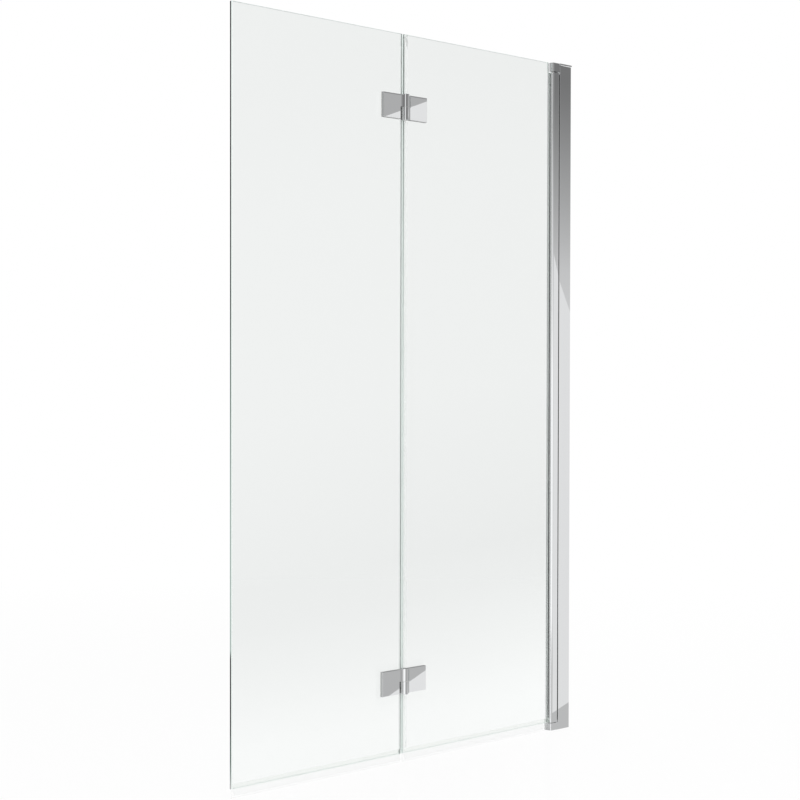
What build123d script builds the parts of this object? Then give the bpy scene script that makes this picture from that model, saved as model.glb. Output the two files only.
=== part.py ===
from build123d import *
import math
import os

# Two-panel folding bath screen, in millimetres.
# The wall is the plane x = 0, the screen runs along -X, its bath side faces -Y and the
# bath rim is z = 0. The middle of the glass lies on y = 0.

os.makedirs("parts", exist_ok=True)

# ---------------------------------------------------------------- driving dimensions

# the whole screen
screen_reach = 1000.0  # wall to the free edge of the outer panel
screen_height = 1400.5  # bath rim to the top of the wall side's cap
joint_distance = 539.0  # wall to the middle of the folding joint
pivot_distance = 49.6  # wall to the axis that the whole screen swings on

# toughened glass
glass_thickness = 6.0
glass_lift = 17.0  # bath rim to the lower edge of both panes
glass_top_drop = 1.0  # cap top down to the upper edge of both panes
glass_joint_gap = 6.4  # between the two panes
glass_arris = 0.5  # ground edge of each pane
glass_notch_radius = 2.0

# wall channel, screwed to the wall
wall_channel_depth = 24.0
wall_channel_width = 16.2
wall_channel_base = 1.6
wall_channel_flange = 1.5
wall_screw_hole_radius = 2.75
wall_screw_outer_spacing = 1200.0
wall_screw_inner_spacing = 400.0

# adjusting profile, telescoped over the wall channel
profile_depth = 20.0  # front to back, for both visible profiles
adjusting_wall = 1.6
adjusting_standoff = 0.4  # wall to the profile's edge when it is pushed home
adjusting_nose_radius = 0.5
socket_web = 1.6
screw_port_radius = 3.2
screw_port_bore = 1.6
screw_port_overlap = 0.2
screw_port_standoff = 1.6  # back of the socket to the middle of the screw tubes
seal_boss_width = 5.2
seal_boss_depth = 3.8

# rotating profile, which holds the inner pane
glass_side_reach = 13.2  # pivot axis to the profile's glass-side edge
rotating_nose_radius = 12.0
rotating_wall = 1.4
rotating_edge_radius = 3.4
channel_floor_reach = 4.1  # pivot axis to the floor of the glass channel
barb_groove_width = 1.5
barb_groove_depth = 0.9
swing_clearance = 0.15

# pivot blocks, pins and bearings at both ends of the rotating profile
bottom_block_height = 15.5
top_block_height = 18.4
top_block_drop = 0.5  # cap top down to the top of the upper block
block_plate_thickness = 3.0
wall_side_reach = 10.0  # pivot axis to the blocks' corners in the socket
block_front_radius = 3.4
bottom_block_rear_radius = 5.0
top_block_rear_radius = 14.2
block_chamfer = 0.5
block_slot_clearance = 0.3
block_screw_radius = 1.6
block_screw_head_radius = 2.9
block_screw_head_depth = 1.6
block_screw_length = 14.0
pivot_pin_radius = 2.5
pivot_pin_in_block = 9.5
pivot_pin_in_bearing = 18.0
pivot_running_clearance = 0.05
bearing_height = 24.0
bearing_clearance = 0.1
bearing_reach = 8.0  # pivot axis to the bearing's glass-side end
bearing_glass_gap = 1.0
thrust_washer_thickness = 0.9
thrust_washer_radius = 6.0
axial_clearance = 0.1
top_running_gap = 1.8

# cap on the wall side
cap_thickness = 4.5
cap_edge_flat = 0.5  # left between the two round edges
cap_overhang = 2.0
cap_length = 38.0

# adjusting screws and their snap-on covers, on the back
adjusting_screw_heights = [200.0, 700.0, 1200.0]
adjusting_screw_reach = 12.0  # wall to the screws
adjusting_screw_radius = 1.9
adjusting_screw_head_radius = 3.3
adjusting_screw_head_height = 1.8
adjusting_screw_length = 4.2
adjusting_hole_clearance = 0.3
screw_cover_wall = 1.0
screw_cover_gap = 0.4

# seals and glazing
tape_thickness = 0.5
wedge_width = 3.2
wedge_head_width = 1.7
wedge_inset = 0.1
glass_in_channel = 15.2
corner_notch_reach = 7.6  # rotating profile to the notch round the top block
lip_seal_clearance = 0.35
lip_seal_neck = 1.5
lip_seal_head = 3.2
lip_seal_head_depth = 1.4
lip_seal_fit = 0.1
seal_wall = 1.0
bottom_seal_leg = 10.0
bottom_fin_thickness = 0.8
bottom_fin_clearance = 0.5  # bath rim to the tip of the wiper fin
drip_rail_drop = 10.0
drip_rail_reach = 3.2
drip_rail_bow = 1.0  # tip of the rail back to the middle of its curve
drip_rail_bend = 3.0  # seal down to the middle of that curve
bottom_seal_end_gap = 0.6
fin_end_gap = 3.0  # rotating profile to the ends of the inner fin and drip rail
joint_seal_leg = 10.9
joint_seal_lip = 9.0
joint_seal_lip_clearance = 0.3
joint_seal_glass_fit = 0.1
joint_seal_hinge_gap = 2.2
joint_seal_back_part = 0.4

# hinges between the panes
hinge_end_distance = 140.5  # end of the glass to the middle of the hinge
hinge_height = 47.5
hinge_plate_width = 50.0
hinge_plate_thickness = 5.5
hinge_gasket = 1.0
hinge_edge_radius = 0.5
barrel_radius = 6.75
barrel_length = 50.0
barrel_glass_clearance = 0.25
barrel_chamfer = 0.4
flare_reach = 14.0  # fold axis to where the plate starts to rise to the barrel
leaf_clearance = 0.4
neck_thickness = 5.0
knuckle_gap = 0.6
hinge_pin_radius = 3.0
hinge_pin_recess = 0.5
hinge_pin_chamfer = 0.3
bush_wall = 1.45
bush_running_clearance = 0.05
bush_flange_radius = 6.2
clamp_reach = 39.0  # fold axis to the clamp screws
clamp_spacing = 24.0
clamp_shank_radius = 2.5
clamp_shank_clearance = 0.1
clamp_thread_length = 4.6
clamp_thread_extra = 0.4
clamp_sleeve_wall = 3.4
clamp_disc_radius = 9.0
clamp_disc_thickness = 1.8
clamp_sleeve_proud = 0.3  # keeps the steel disc off the glass
clamp_socket_size = 4.0
clamp_socket_depth = 1.4
glass_hole_clearance = 0.2

# ---------------------------------------------------------------- shared positions

half_glass = glass_thickness / 2
half_depth = profile_depth / 2
glass_bottom = glass_lift
glass_top = screen_height - glass_top_drop

pivot_x = -pivot_distance
joint_x = -joint_distance
fold_y = -(half_glass + barrel_glass_clearance + barrel_radius)
outer_edge = joint_x - glass_joint_gap / 2
inner_edge = joint_x + glass_joint_gap / 2

# The socket is wide enough for the rotating profile's flat sides to swing past its mouth.
corner_radius = math.hypot(wall_side_reach, half_depth)
socket_radius = corner_radius + swing_clearance
mouth_x = pivot_x + math.sqrt(socket_radius**2 - half_depth**2)
rotating_edge = pivot_x - glass_side_reach
channel_floor = pivot_x + channel_floor_reach
channel_front = -(half_glass + tape_thickness)
channel_back = half_glass + wedge_width

cap_bottom = screen_height - cap_thickness
adjusting_bottom = block_plate_thickness
adjusting_top = cap_bottom - block_plate_thickness
adjusting_length = adjusting_top - adjusting_bottom

top_block_top = screen_height - top_block_drop
top_block_bottom = top_block_top - top_block_height
rotating_bottom = bottom_block_height + thrust_washer_thickness + axial_clearance
rotating_top = top_block_bottom - top_running_gap
rotating_length = rotating_top - rotating_bottom

port_x = pivot_x + socket_radius + socket_web + screw_port_standoff
port_y = half_depth - adjusting_wall - screw_port_radius + screw_port_overlap

hinge_heights = {
    "upper": glass_top - hinge_end_distance,
    "lower": glass_bottom + hinge_end_distance,
}
plate_back = -(half_glass + hinge_gasket)
plate_front = plate_back - hinge_plate_thickness
leaf_cut = math.hypot(flare_reach, plate_front - fold_y) + leaf_clearance


def facing_front(x, y, z):
    """Plane through a point, whose normal points to the bath side."""
    return Plane(origin=(x, y, z), x_dir=(1, 0, 0), z_dir=(0, -1, 0))


def facing_back(x, y, z):
    """Plane through a point, whose normal points away from the bath."""
    return Plane(origin=(x, y, z), x_dir=(-1, 0, 0), z_dir=(0, 1, 0))


def finish(block, node):
    """Label a finished piece and write it to its own file."""
    block.part.label = node
    export_step(block.part, f"parts/{node}.step")


# ---------------------------------------------------------------- wall side

# Extruded aluminium channel, open to the room, with a row of holes for the wall screws.
middle_height = cap_bottom / 2
wall_screw_planes = [
    Plane(origin=(0, 0, middle_height + side * spacing / 2), x_dir=(0, 1, 0), z_dir=(1, 0, 0))
    for spacing in (wall_screw_outer_spacing, wall_screw_inner_spacing)
    for side in (-1, 1)
]
flange_y = wall_channel_width / 2
with BuildPart() as wall_profile:
    with BuildSketch(Plane.XY):
        with Locations((-wall_channel_depth / 2, 0)):
            Rectangle(wall_channel_depth, wall_channel_width)
        with Locations((-wall_channel_base, 0)):
            Rectangle(
                wall_channel_depth,
                wall_channel_width - 2 * wall_channel_flange,
                align=(Align.MAX, Align.CENTER),
                mode=Mode.SUBTRACT,
            )
    extrude(amount=cap_bottom)
    with Locations(*wall_screw_planes):
        Hole(wall_screw_hole_radius)
    with Locations(*[
        facing_back(-adjusting_screw_reach, flange_y, z) for z in adjusting_screw_heights
    ]):
        Hole(adjusting_screw_radius, depth=wall_channel_flange)
finish(wall_profile, "wall_profile")

# Extruded aluminium box with a hollow round socket on the room side. The socket's middle
# carries a groove for the lip seal, and the two tubes inside take the end screws.
back_radius = socket_radius + socket_web
inner_y = half_depth - adjusting_wall
web_x = pivot_x + math.sqrt(back_radius**2 - inner_y**2)
groove_floor = socket_radius + seal_boss_depth - socket_web / 2
groove_step = groove_floor - lip_seal_head_depth - lip_seal_fit
with BuildPart() as adjusting_profile:
    with BuildSketch(Plane.XY.offset(adjusting_bottom)) as adjusting_section:
        with BuildLine():
            Polyline(
                (mouth_x, -half_depth),
                (-adjusting_standoff, -half_depth),
                (-adjusting_standoff, half_depth),
                (mouth_x, half_depth),
            )
            ThreePointArc(
                (mouth_x, half_depth), (pivot_x + socket_radius, 0), (mouth_x, -half_depth)
            )
        make_face()
        noses = adjusting_section.vertices().group_by(Axis.X)[0]
        fillet(noses, adjusting_nose_radius)
        with BuildLine():
            Polyline((web_x, -inner_y), (0, -inner_y), (0, inner_y), (web_x, inner_y))
            ThreePointArc((web_x, inner_y), (pivot_x + back_radius, 0), (web_x, -inner_y))
        make_face(mode=Mode.SUBTRACT)
        with Locations((port_x, port_y), (port_x, -port_y)):
            Circle(screw_port_radius)
        with Locations((pivot_x + socket_radius + socket_web / 2, 0)):
            Rectangle(seal_boss_depth, seal_boss_width, align=(Align.MIN, Align.CENTER))
        with Locations((port_x, port_y), (port_x, -port_y)):
            Circle(screw_port_bore, mode=Mode.SUBTRACT)
        with Locations((pivot_x + groove_floor, 0)):
            Rectangle(
                groove_floor - socket_radius + socket_web,
                lip_seal_neck + 2 * lip_seal_fit,
                align=(Align.MAX, Align.CENTER),
                mode=Mode.SUBTRACT,
            )
            Rectangle(
                groove_floor - groove_step,
                lip_seal_head + 2 * lip_seal_fit,
                align=(Align.MAX, Align.CENTER),
                mode=Mode.SUBTRACT,
            )
    extrude(amount=adjusting_length)
    with Locations(*[
        facing_back(-adjusting_screw_reach, half_depth, z) for z in adjusting_screw_heights
    ]):
        Hole(adjusting_screw_radius + adjusting_hole_clearance, depth=adjusting_wall)
finish(adjusting_profile, "adjusting_profile")

# Soft PVC seal pushed into the socket's groove. Its rounded lip stops just short of the
# rotating profile's round back.
lip_tip = rotating_nose_radius + lip_seal_clearance
with BuildPart() as pivot_lip_seal:
    with BuildSketch(Plane.XY.offset(adjusting_bottom + bottom_block_height)) as lip_section:
        with Locations((pivot_x + groove_floor - lip_seal_fit, 0)):
            Rectangle(
                groove_floor - lip_seal_fit - lip_tip,
                lip_seal_neck,
                align=(Align.MAX, Align.CENTER),
            )
            Rectangle(lip_seal_head_depth, lip_seal_head, align=(Align.MAX, Align.CENTER))
        lips = lip_section.vertices().group_by(Axis.X)[0]
        fillet(lips, lip_seal_neck / 2 - lip_seal_fit)
    extrude(
        amount=top_block_bottom - adjusting_bottom - bottom_block_height - block_plate_thickness
    )
finish(pivot_lip_seal, "pivot_lip_seal")


def pivot_block(outer_face, inner_face, plate_near, plate_far, rear_radius):
    """Cast block that closes the end of the socket and holds a pivot pin.

    Its thin plate lies over the end of the adjusting profile, is slotted for the wall
    channel, and is held by two countersunk screws in the profile's screw tubes.
    """
    up = 1 if inner_face > outer_face else -1
    slot_y = flange_y + block_slot_clearance
    tongue_y = flange_y - wall_channel_flange - block_slot_clearance
    slot_x = -wall_channel_depth - block_slot_clearance
    curve_x = pivot_x + corner_radius
    with BuildPart() as block:
        with BuildSketch(Plane.XY.offset(min(outer_face, inner_face))) as section:
            with BuildLine():
                Polyline(
                    (pivot_x + wall_side_reach, half_depth),
                    (rotating_edge, half_depth),
                    (rotating_edge, -half_depth),
                    (pivot_x + wall_side_reach, -half_depth),
                )
                ThreePointArc(
                    (pivot_x + wall_side_reach, -half_depth),
                    (curve_x, 0),
                    (pivot_x + wall_side_reach, half_depth),
                )
            make_face()
            corners = section.vertices().group_by(Axis.X)[0].sort_by(Axis.Y)
            fillet(corners[0], block_front_radius)
            corners = section.vertices().group_by(Axis.X)[0].sort_by(Axis.Y)
            rear_limit = profile_depth - block_front_radius - block_chamfer
            fillet(corners[-1], min(rear_radius, rear_limit))
        extrude(amount=abs(inner_face - outer_face))
        free_end = block.faces().sort_by(Axis.Z)[0 if up > 0 else -1]
        chamfer(free_end.edges(), block_chamfer)
        with BuildSketch(Plane.XY.offset(min(plate_near, plate_far))):
            with Locations((pivot_x + wall_side_reach / 2, 0)):
                Rectangle(
                    -pivot_x - wall_side_reach / 2 - adjusting_standoff,
                    profile_depth,
                    align=(Align.MIN, Align.CENTER),
                )
            with Locations((slot_x, 0)):
                Rectangle(
                    -slot_x, 2 * slot_y, align=(Align.MIN, Align.CENTER), mode=Mode.SUBTRACT
                )
                Rectangle(
                    -slot_x - wall_channel_base - block_slot_clearance,
                    2 * tongue_y,
                    align=(Align.MIN, Align.CENTER),
                )
        extrude(amount=abs(plate_far - plate_near))
        pin_mouth = Plane(origin=(pivot_x, 0, inner_face), z_dir=(0, 0, up))
        with Locations(pin_mouth):
            Hole(pivot_pin_radius, depth=pivot_pin_in_block)
        screw_mouths = [
            Plane(origin=(port_x, side * port_y, plate_far), z_dir=(0, 0, -up))
            for side in (-1, 1)
        ]
        with Locations(*screw_mouths):
            CounterSinkHole(
                block_screw_radius,
                block_screw_head_radius,
                depth=block_plate_thickness,
            )
    return block


bottom_pivot_block = pivot_block(
    0, bottom_block_height, block_plate_thickness, 0, bottom_block_rear_radius
)
finish(bottom_pivot_block, "bottom_pivot_block")

top_pivot_block = pivot_block(
    top_block_top, top_block_bottom, adjusting_top, cap_bottom, top_block_rear_radius
)
finish(top_pivot_block, "top_pivot_block")


def block_screws(plate_face, into):
    """Two countersunk self-tapping screws that hold a pivot block to the profile."""
    mouths = [
        Plane(origin=(port_x, side * port_y, plate_face), z_dir=(0, 0, into))
        for side in (-1, 1)
    ]
    with BuildPart() as screws:
        with Locations(*mouths):
            Cone(
                block_screw_head_radius,
                block_screw_radius,
                block_screw_head_radius - block_screw_radius,
                align=(Align.CENTER, Align.CENTER, Align.MIN),
            )
            Cylinder(
                block_screw_radius,
                block_screw_length,
                align=(Align.CENTER, Align.CENTER, Align.MIN),
            )
    return screws


bottom_block_screws = block_screws(0, 1)
finish(bottom_block_screws, "bottom_block_screws")

top_block_screws = block_screws(cap_bottom, -1)
finish(top_block_screws, "top_block_screws")


def pivot_pin(block_face, into_bearing):
    """Stainless pin, pressed in its block, that the rotating profile's bearing turns on."""
    foot = block_face - into_bearing * pivot_pin_in_block
    with BuildPart() as pin:
        with BuildSketch(Plane(origin=(pivot_x, 0, foot), z_dir=(0, 0, into_bearing))):
            Circle(pivot_pin_radius)
        extrude(amount=pivot_pin_in_block + pivot_pin_in_bearing)
        chamfer(pin.faces().filter_by(Plane.XY).edges(), hinge_pin_chamfer)
    return pin


bottom_pivot_pin = pivot_pin(bottom_block_height, 1)
finish(bottom_pivot_pin, "bottom_pivot_pin")

top_pivot_pin = pivot_pin(top_block_bottom, -1)
finish(top_pivot_pin, "top_pivot_pin")

# Acetal washer that the rotating profile stands on.
with BuildPart() as bottom_thrust_washer:
    with BuildSketch(Plane.XY.offset(bottom_block_height)):
        with Locations((pivot_x, 0)):
            Circle(thrust_washer_radius)
            Circle(pivot_pin_radius + pivot_running_clearance, mode=Mode.SUBTRACT)
    extrude(amount=thrust_washer_thickness)
finish(bottom_thrust_washer, "bottom_thrust_washer")

# Bullnosed plate that closes the wall side, hollowed round the top pivot block.
with BuildPart() as profile_top_cap:
    with BuildSketch(Plane.XY.offset(cap_bottom)):
        with Locations((-cap_length, 0)):
            Rectangle(
                cap_length, profile_depth + 2 * cap_overhang, align=(Align.MIN, Align.CENTER)
            )
    extrude(amount=cap_thickness)
    long_edges = profile_top_cap.edges().filter_by(Axis.X)
    fillet(long_edges, (cap_thickness - cap_edge_flat) / 2)
    with BuildSketch(Plane.XY.offset(cap_bottom)):
        with Locations((pivot_x, 0)):
            Circle(socket_radius)
    extrude(amount=cap_thickness, mode=Mode.SUBTRACT)
finish(profile_top_cap, "profile_top_cap")

# Flat-headed screws through the back of the adjusting profile fix it to the wall channel.
with BuildPart() as adjusting_screws:
    with Locations(*[
        facing_back(-adjusting_screw_reach, half_depth, z) for z in adjusting_screw_heights
    ]):
        Cylinder(
            adjusting_screw_head_radius,
            adjusting_screw_head_height,
            align=(Align.CENTER, Align.CENTER, Align.MIN),
        )
        Cylinder(
            adjusting_screw_radius,
            adjusting_screw_length,
            align=(Align.CENTER, Align.CENTER, Align.MAX),
        )
finish(adjusting_screws, "adjusting_screws")

# Snap-on covers over those screws.
cover_inner_radius = adjusting_screw_head_radius + screw_cover_gap
cover_inner_height = adjusting_screw_head_height + screw_cover_gap
with BuildPart() as adjusting_screw_caps:
    with BuildSketch(*[
        facing_back(-adjusting_screw_reach, half_depth, z) for z in adjusting_screw_heights
    ]):
        Circle(cover_inner_radius + screw_cover_wall)
    extrude(amount=cover_inner_height + screw_cover_wall)
    with BuildSketch(*[
        facing_back(-adjusting_screw_reach, half_depth, z) for z in adjusting_screw_heights
    ]):
        Circle(cover_inner_radius)
    extrude(amount=cover_inner_height, mode=Mode.SUBTRACT)
finish(adjusting_screw_caps, "adjusting_screw_caps")

# ---------------------------------------------------------------- inner panel

# Extruded aluminium profile that holds the inner pane and turns on the pivot pins. Its
# back is round about the pivot axis, its front lip is hollow, and its back lip has a
# groove for the glazing wedge's barb.
nose_x = pivot_x + math.sqrt(rotating_nose_radius**2 - half_depth**2)
chamber_radius = rotating_nose_radius - rotating_wall
chamber_y = half_depth - rotating_wall
chamber_x = pivot_x + math.sqrt(chamber_radius**2 - chamber_y**2)
chamber_floor = channel_floor + rotating_wall
with BuildPart() as rotating_profile:
    with BuildSketch(Plane.XY.offset(rotating_bottom)) as rotating_section:
        with BuildLine():
            Polyline(
                (nose_x, half_depth),
                (rotating_edge, half_depth),
                (rotating_edge, -half_depth),
                (nose_x, -half_depth),
            )
            ThreePointArc(
                (nose_x, -half_depth),
                (pivot_x + rotating_nose_radius, 0),
                (nose_x, half_depth),
            )
        make_face()
        fillet(rotating_section.vertices().group_by(Axis.X)[0], rotating_edge_radius)
        with Locations((channel_floor, (channel_front + channel_back) / 2)):
            Rectangle(
                channel_floor - rotating_edge,
                channel_back - channel_front,
                align=(Align.MAX, Align.CENTER),
                mode=Mode.SUBTRACT,
            )
        with Locations((channel_floor, (channel_front - half_depth) / 2)):
            Rectangle(
                channel_floor - rotating_edge - rotating_wall,
                half_depth + channel_front - 2 * rotating_wall,
                align=(Align.MAX, Align.CENTER),
                mode=Mode.SUBTRACT,
            )
        hollow_corner = rotating_section.vertices().sort_by_distance(
            (rotating_edge + rotating_wall, rotating_wall - half_depth)
        )[0]
        fillet(hollow_corner, rotating_edge_radius - rotating_wall)
        with Locations((rotating_edge + wedge_head_width + wedge_inset, channel_back)):
            Rectangle(
                barb_groove_width,
                2 * barb_groove_depth,
                align=(Align.MIN, Align.CENTER),
                mode=Mode.SUBTRACT,
            )
        with BuildLine():
            Polyline(
                (chamber_x, chamber_y),
                (chamber_floor, chamber_y),
                (chamber_floor, -chamber_y),
                (chamber_x, -chamber_y),
            )
            ThreePointArc(
                (chamber_x, -chamber_y),
                (pivot_x + chamber_radius, 0),
                (chamber_x, chamber_y),
            )
        make_face(mode=Mode.SUBTRACT)
    extrude(amount=rotating_length)
finish(rotating_profile, "rotating_profile")


def pivot_bearing(end, inward):
    """Acetal insert in the end of the glass channel, bored for the pivot pin."""
    front = channel_front + bearing_clearance
    back = channel_back - bearing_clearance
    with BuildPart() as bearing:
        with BuildSketch(Plane.XY.offset(min(end, end + inward * bearing_height))):
            with Locations((channel_floor - bearing_clearance, (front + back) / 2)):
                Rectangle(
                    channel_floor_reach - bearing_clearance + bearing_reach,
                    back - front,
                    align=(Align.MAX, Align.CENTER),
                )
            with Locations((pivot_x, 0)):
                Circle(pivot_pin_radius + pivot_running_clearance, mode=Mode.SUBTRACT)
        extrude(amount=bearing_height)
    return bearing


bottom_pivot_bearing = pivot_bearing(rotating_bottom, 1)
finish(bottom_pivot_bearing, "bottom_pivot_bearing")

top_pivot_bearing = pivot_bearing(rotating_top, -1)
finish(top_pivot_bearing, "top_pivot_bearing")

# Between the bearings the pane reaches down into the channel.
grip_bottom = rotating_bottom + bearing_height + bearing_glass_gap
grip_top = rotating_top - bearing_height - bearing_glass_gap
pane_edge = rotating_edge + glass_in_channel
bearing_edge = pivot_x - bearing_reach - bearing_glass_gap
corner_edge = rotating_edge - corner_notch_reach
corner_height = rotating_top - bearing_glass_gap


def clamp_planes(side, centre):
    """Planes on the back of the glass at one leaf's two clamp holes."""
    return [
        facing_front(joint_x + side * clamp_reach, half_glass, centre + step * clamp_spacing / 2)
        for step in (-1, 1)
    ]


sleeve_bore = clamp_shank_radius + clamp_shank_clearance
sleeve_radius = sleeve_bore + clamp_sleeve_wall
glass_hole = sleeve_radius + glass_hole_clearance
inner_holes = clamp_planes(1, hinge_heights["upper"]) + clamp_planes(1, hinge_heights["lower"])
outer_holes = clamp_planes(-1, hinge_heights["upper"]) + clamp_planes(-1, hinge_heights["lower"])

# Inner pane, toughened, notched round the bearings and the top pivot block.
with BuildPart() as inner_glass:
    with BuildSketch(Plane.XZ.offset(-half_glass)) as inner_outline:
        with BuildLine():
            Polyline(
                (inner_edge, glass_bottom),
                (bearing_edge, glass_bottom),
                (bearing_edge, grip_bottom),
                (pane_edge, grip_bottom),
                (pane_edge, grip_top),
                (bearing_edge, grip_top),
                (bearing_edge, corner_height),
                (corner_edge, corner_height),
                (corner_edge, glass_top),
                (inner_edge, glass_top),
                close=True,
            )
        make_face()
        inner_corners = [
            inner_outline.vertices().sort_by_distance(corner)[0]
            for corner in (
                (bearing_edge, grip_bottom),
                (bearing_edge, grip_top),
                (corner_edge, corner_height),
            )
        ]
        fillet(inner_corners, glass_notch_radius)
    extrude(amount=glass_thickness)
    rims = inner_glass.faces().filter_by(Plane.XZ)
    chamfer(rims.edges(), glass_arris)
    with Locations(*inner_holes):
        Hole(glass_hole, depth=glass_thickness)
finish(inner_glass, "inner_glass")

# Clear glazing tape between the pane and the front of the channel.
with BuildPart() as glazing_tape:
    with BuildSketch(Plane.XY.offset(grip_bottom + bearing_glass_gap)):
        with Locations((rotating_edge + wedge_inset, -half_glass - tape_thickness / 2)):
            Rectangle(
                glass_in_channel - wedge_inset - glass_arris,
                tape_thickness,
                align=(Align.MIN, Align.CENTER),
            )
    extrude(amount=grip_top - grip_bottom - 2 * bearing_glass_gap)
finish(glazing_tape, "glazing_tape")

# Rubber wedge behind the pane. Its head runs the whole height, its tail stops at the
# bearings.
wedge_y = half_glass + wedge_width / 2
with BuildPart() as glazing_wedge:
    with BuildSketch(Plane.XY.offset(rotating_bottom)):
        with Locations((rotating_edge + wedge_inset, wedge_y)):
            Rectangle(wedge_head_width, wedge_width, align=(Align.MIN, Align.CENTER))
    extrude(amount=rotating_length)
    with BuildSketch(Plane.XY.offset(grip_bottom + bearing_glass_gap)):
        with Locations((rotating_edge + wedge_inset, wedge_y)):
            Rectangle(
                glass_in_channel - wedge_inset - glass_arris,
                wedge_width,
                align=(Align.MIN, Align.CENTER),
            )
        with Locations((rotating_edge + wedge_head_width + wedge_inset, channel_back)):
            Rectangle(
                barb_groove_width,
                2 * barb_groove_depth - 2 * lip_seal_fit,
                align=(Align.MIN, Align.CENTER),
            )
    extrude(amount=grip_top - grip_bottom - 2 * bearing_glass_gap)
finish(glazing_wedge, "glazing_wedge")

# ---------------------------------------------------------------- outer panel

# Outer pane, toughened, with square corners and a ground edge all round.
with BuildPart() as outer_glass:
    with BuildSketch(Plane.XZ.offset(-half_glass)):
        with Locations((-screen_reach, glass_bottom)):
            Rectangle(
                screen_reach + outer_edge,
                glass_top - glass_bottom,
                align=(Align.MIN, Align.MIN),
            )
    extrude(amount=glass_thickness)
    outer_rims = outer_glass.faces().filter_by(Plane.XZ)
    chamfer(outer_rims.edges(), glass_arris)
    with Locations(*outer_holes):
        Hole(glass_hole, depth=glass_thickness)
finish(outer_glass, "outer_glass")

# ---------------------------------------------------------------- seals

# Clear PVC seal on the inner pane's folding edge. Its lip lies behind the outer pane, so
# the outer panel is free to fold forwards. Its front is cut away over the hinges.
seal_base_x = inner_edge - joint_seal_glass_fit - seal_wall
joint_seal_bottom = glass_bottom - seal_wall + bottom_seal_leg + bottom_seal_end_gap
lip_y = half_glass + joint_seal_lip_clearance
with BuildPart() as joint_seal:
    with BuildSketch(Plane.XY.offset(joint_seal_bottom)):
        with Locations((seal_base_x, 0)):
            Rectangle(joint_seal_leg, 2 * (half_glass + seal_wall), align=(Align.MIN, Align.CENTER))
        with Locations((seal_base_x + seal_wall, 0)):
            Rectangle(
                joint_seal_leg,
                glass_thickness,
                align=(Align.MIN, Align.CENTER),
                mode=Mode.SUBTRACT,
            )
        with Locations((seal_base_x + seal_wall, lip_y)):
            Rectangle(
                joint_seal_lip + seal_wall,
                half_glass + seal_wall - lip_y,
                align=(Align.MAX, Align.MIN),
            )
    extrude(amount=glass_top - joint_seal_bottom)
    with Locations(*[
        (seal_base_x, -half_glass + joint_seal_back_part, centre)
        for centre in hinge_heights.values()
    ]):
        Box(
            joint_seal_leg,
            seal_wall + joint_seal_back_part,
            barrel_length + joint_seal_hinge_gap,
            align=(Align.MIN, Align.MAX, Align.CENTER),
            mode=Mode.SUBTRACT,
        )
finish(joint_seal, "joint_seal")


def bottom_seal(left, right, fin_right):
    """Clear PVC seal pushed on a pane's lower edge, with a wiper fin and a drip rail."""
    outer_y = half_glass + seal_wall
    base_z = glass_bottom - seal_wall
    rail_y = outer_y + drip_rail_reach
    with BuildPart() as seal:
        with BuildSketch(Plane.YZ.offset(left)):
            with Locations((0, base_z)):
                Rectangle(2 * outer_y, bottom_seal_leg, align=(Align.CENTER, Align.MIN))
            with Locations((0, glass_bottom)):
                Rectangle(
                    glass_thickness,
                    bottom_seal_leg,
                    align=(Align.CENTER, Align.MIN),
                    mode=Mode.SUBTRACT,
                )
        extrude(amount=right - left)
        with BuildSketch(Plane.YZ.offset(left)):
            with Locations((0, bottom_fin_clearance)):
                Rectangle(
                    bottom_fin_thickness,
                    base_z - bottom_fin_clearance,
                    align=(Align.CENTER, Align.MIN),
                )
            with BuildLine():
                Polyline(
                    (-outer_y, base_z + seal_wall),
                    (-outer_y, base_z),
                    (seal_wall - outer_y, base_z),
                )
                ThreePointArc(
                    (seal_wall - outer_y, base_z),
                    (
                        drip_rail_bow + bottom_fin_thickness - rail_y,
                        base_z - drip_rail_bend - bottom_fin_thickness,
                    ),
                    (bottom_fin_thickness - rail_y, base_z - drip_rail_drop),
                )
                Line(
                    (bottom_fin_thickness - rail_y, base_z - drip_rail_drop),
                    (-rail_y, base_z - drip_rail_drop),
                )
                ThreePointArc(
                    (-rail_y, base_z - drip_rail_drop),
                    (drip_rail_bow - rail_y, base_z - drip_rail_bend),
                    (-outer_y, base_z + seal_wall),
                )
            make_face()
        extrude(amount=fin_right - left)
    return seal


inner_bottom_seal = bottom_seal(
    inner_edge, rotating_edge - bottom_seal_end_gap, rotating_edge - fin_end_gap
)
finish(inner_bottom_seal, "inner_bottom_seal")

outer_bottom_seal = bottom_seal(-screen_reach, outer_edge, outer_edge)
finish(outer_bottom_seal, "outer_bottom_seal")

# ---------------------------------------------------------------- hinges

# The flare is an arc that leaves the plate's front flat and meets the barrel tangentially.
front_drop = plate_front - fold_y
flare_radius = (flare_reach**2 + front_drop**2 - barrel_radius**2) / (
    2 * (barrel_radius + front_drop)
)
flare_y = plate_front - flare_radius
flare_turn = math.atan2(flare_reach, fold_y - flare_y)
neck_back = plate_front + neck_thickness
neck_end = math.sqrt(barrel_radius**2 - (neck_back - fold_y) ** 2)


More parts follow.
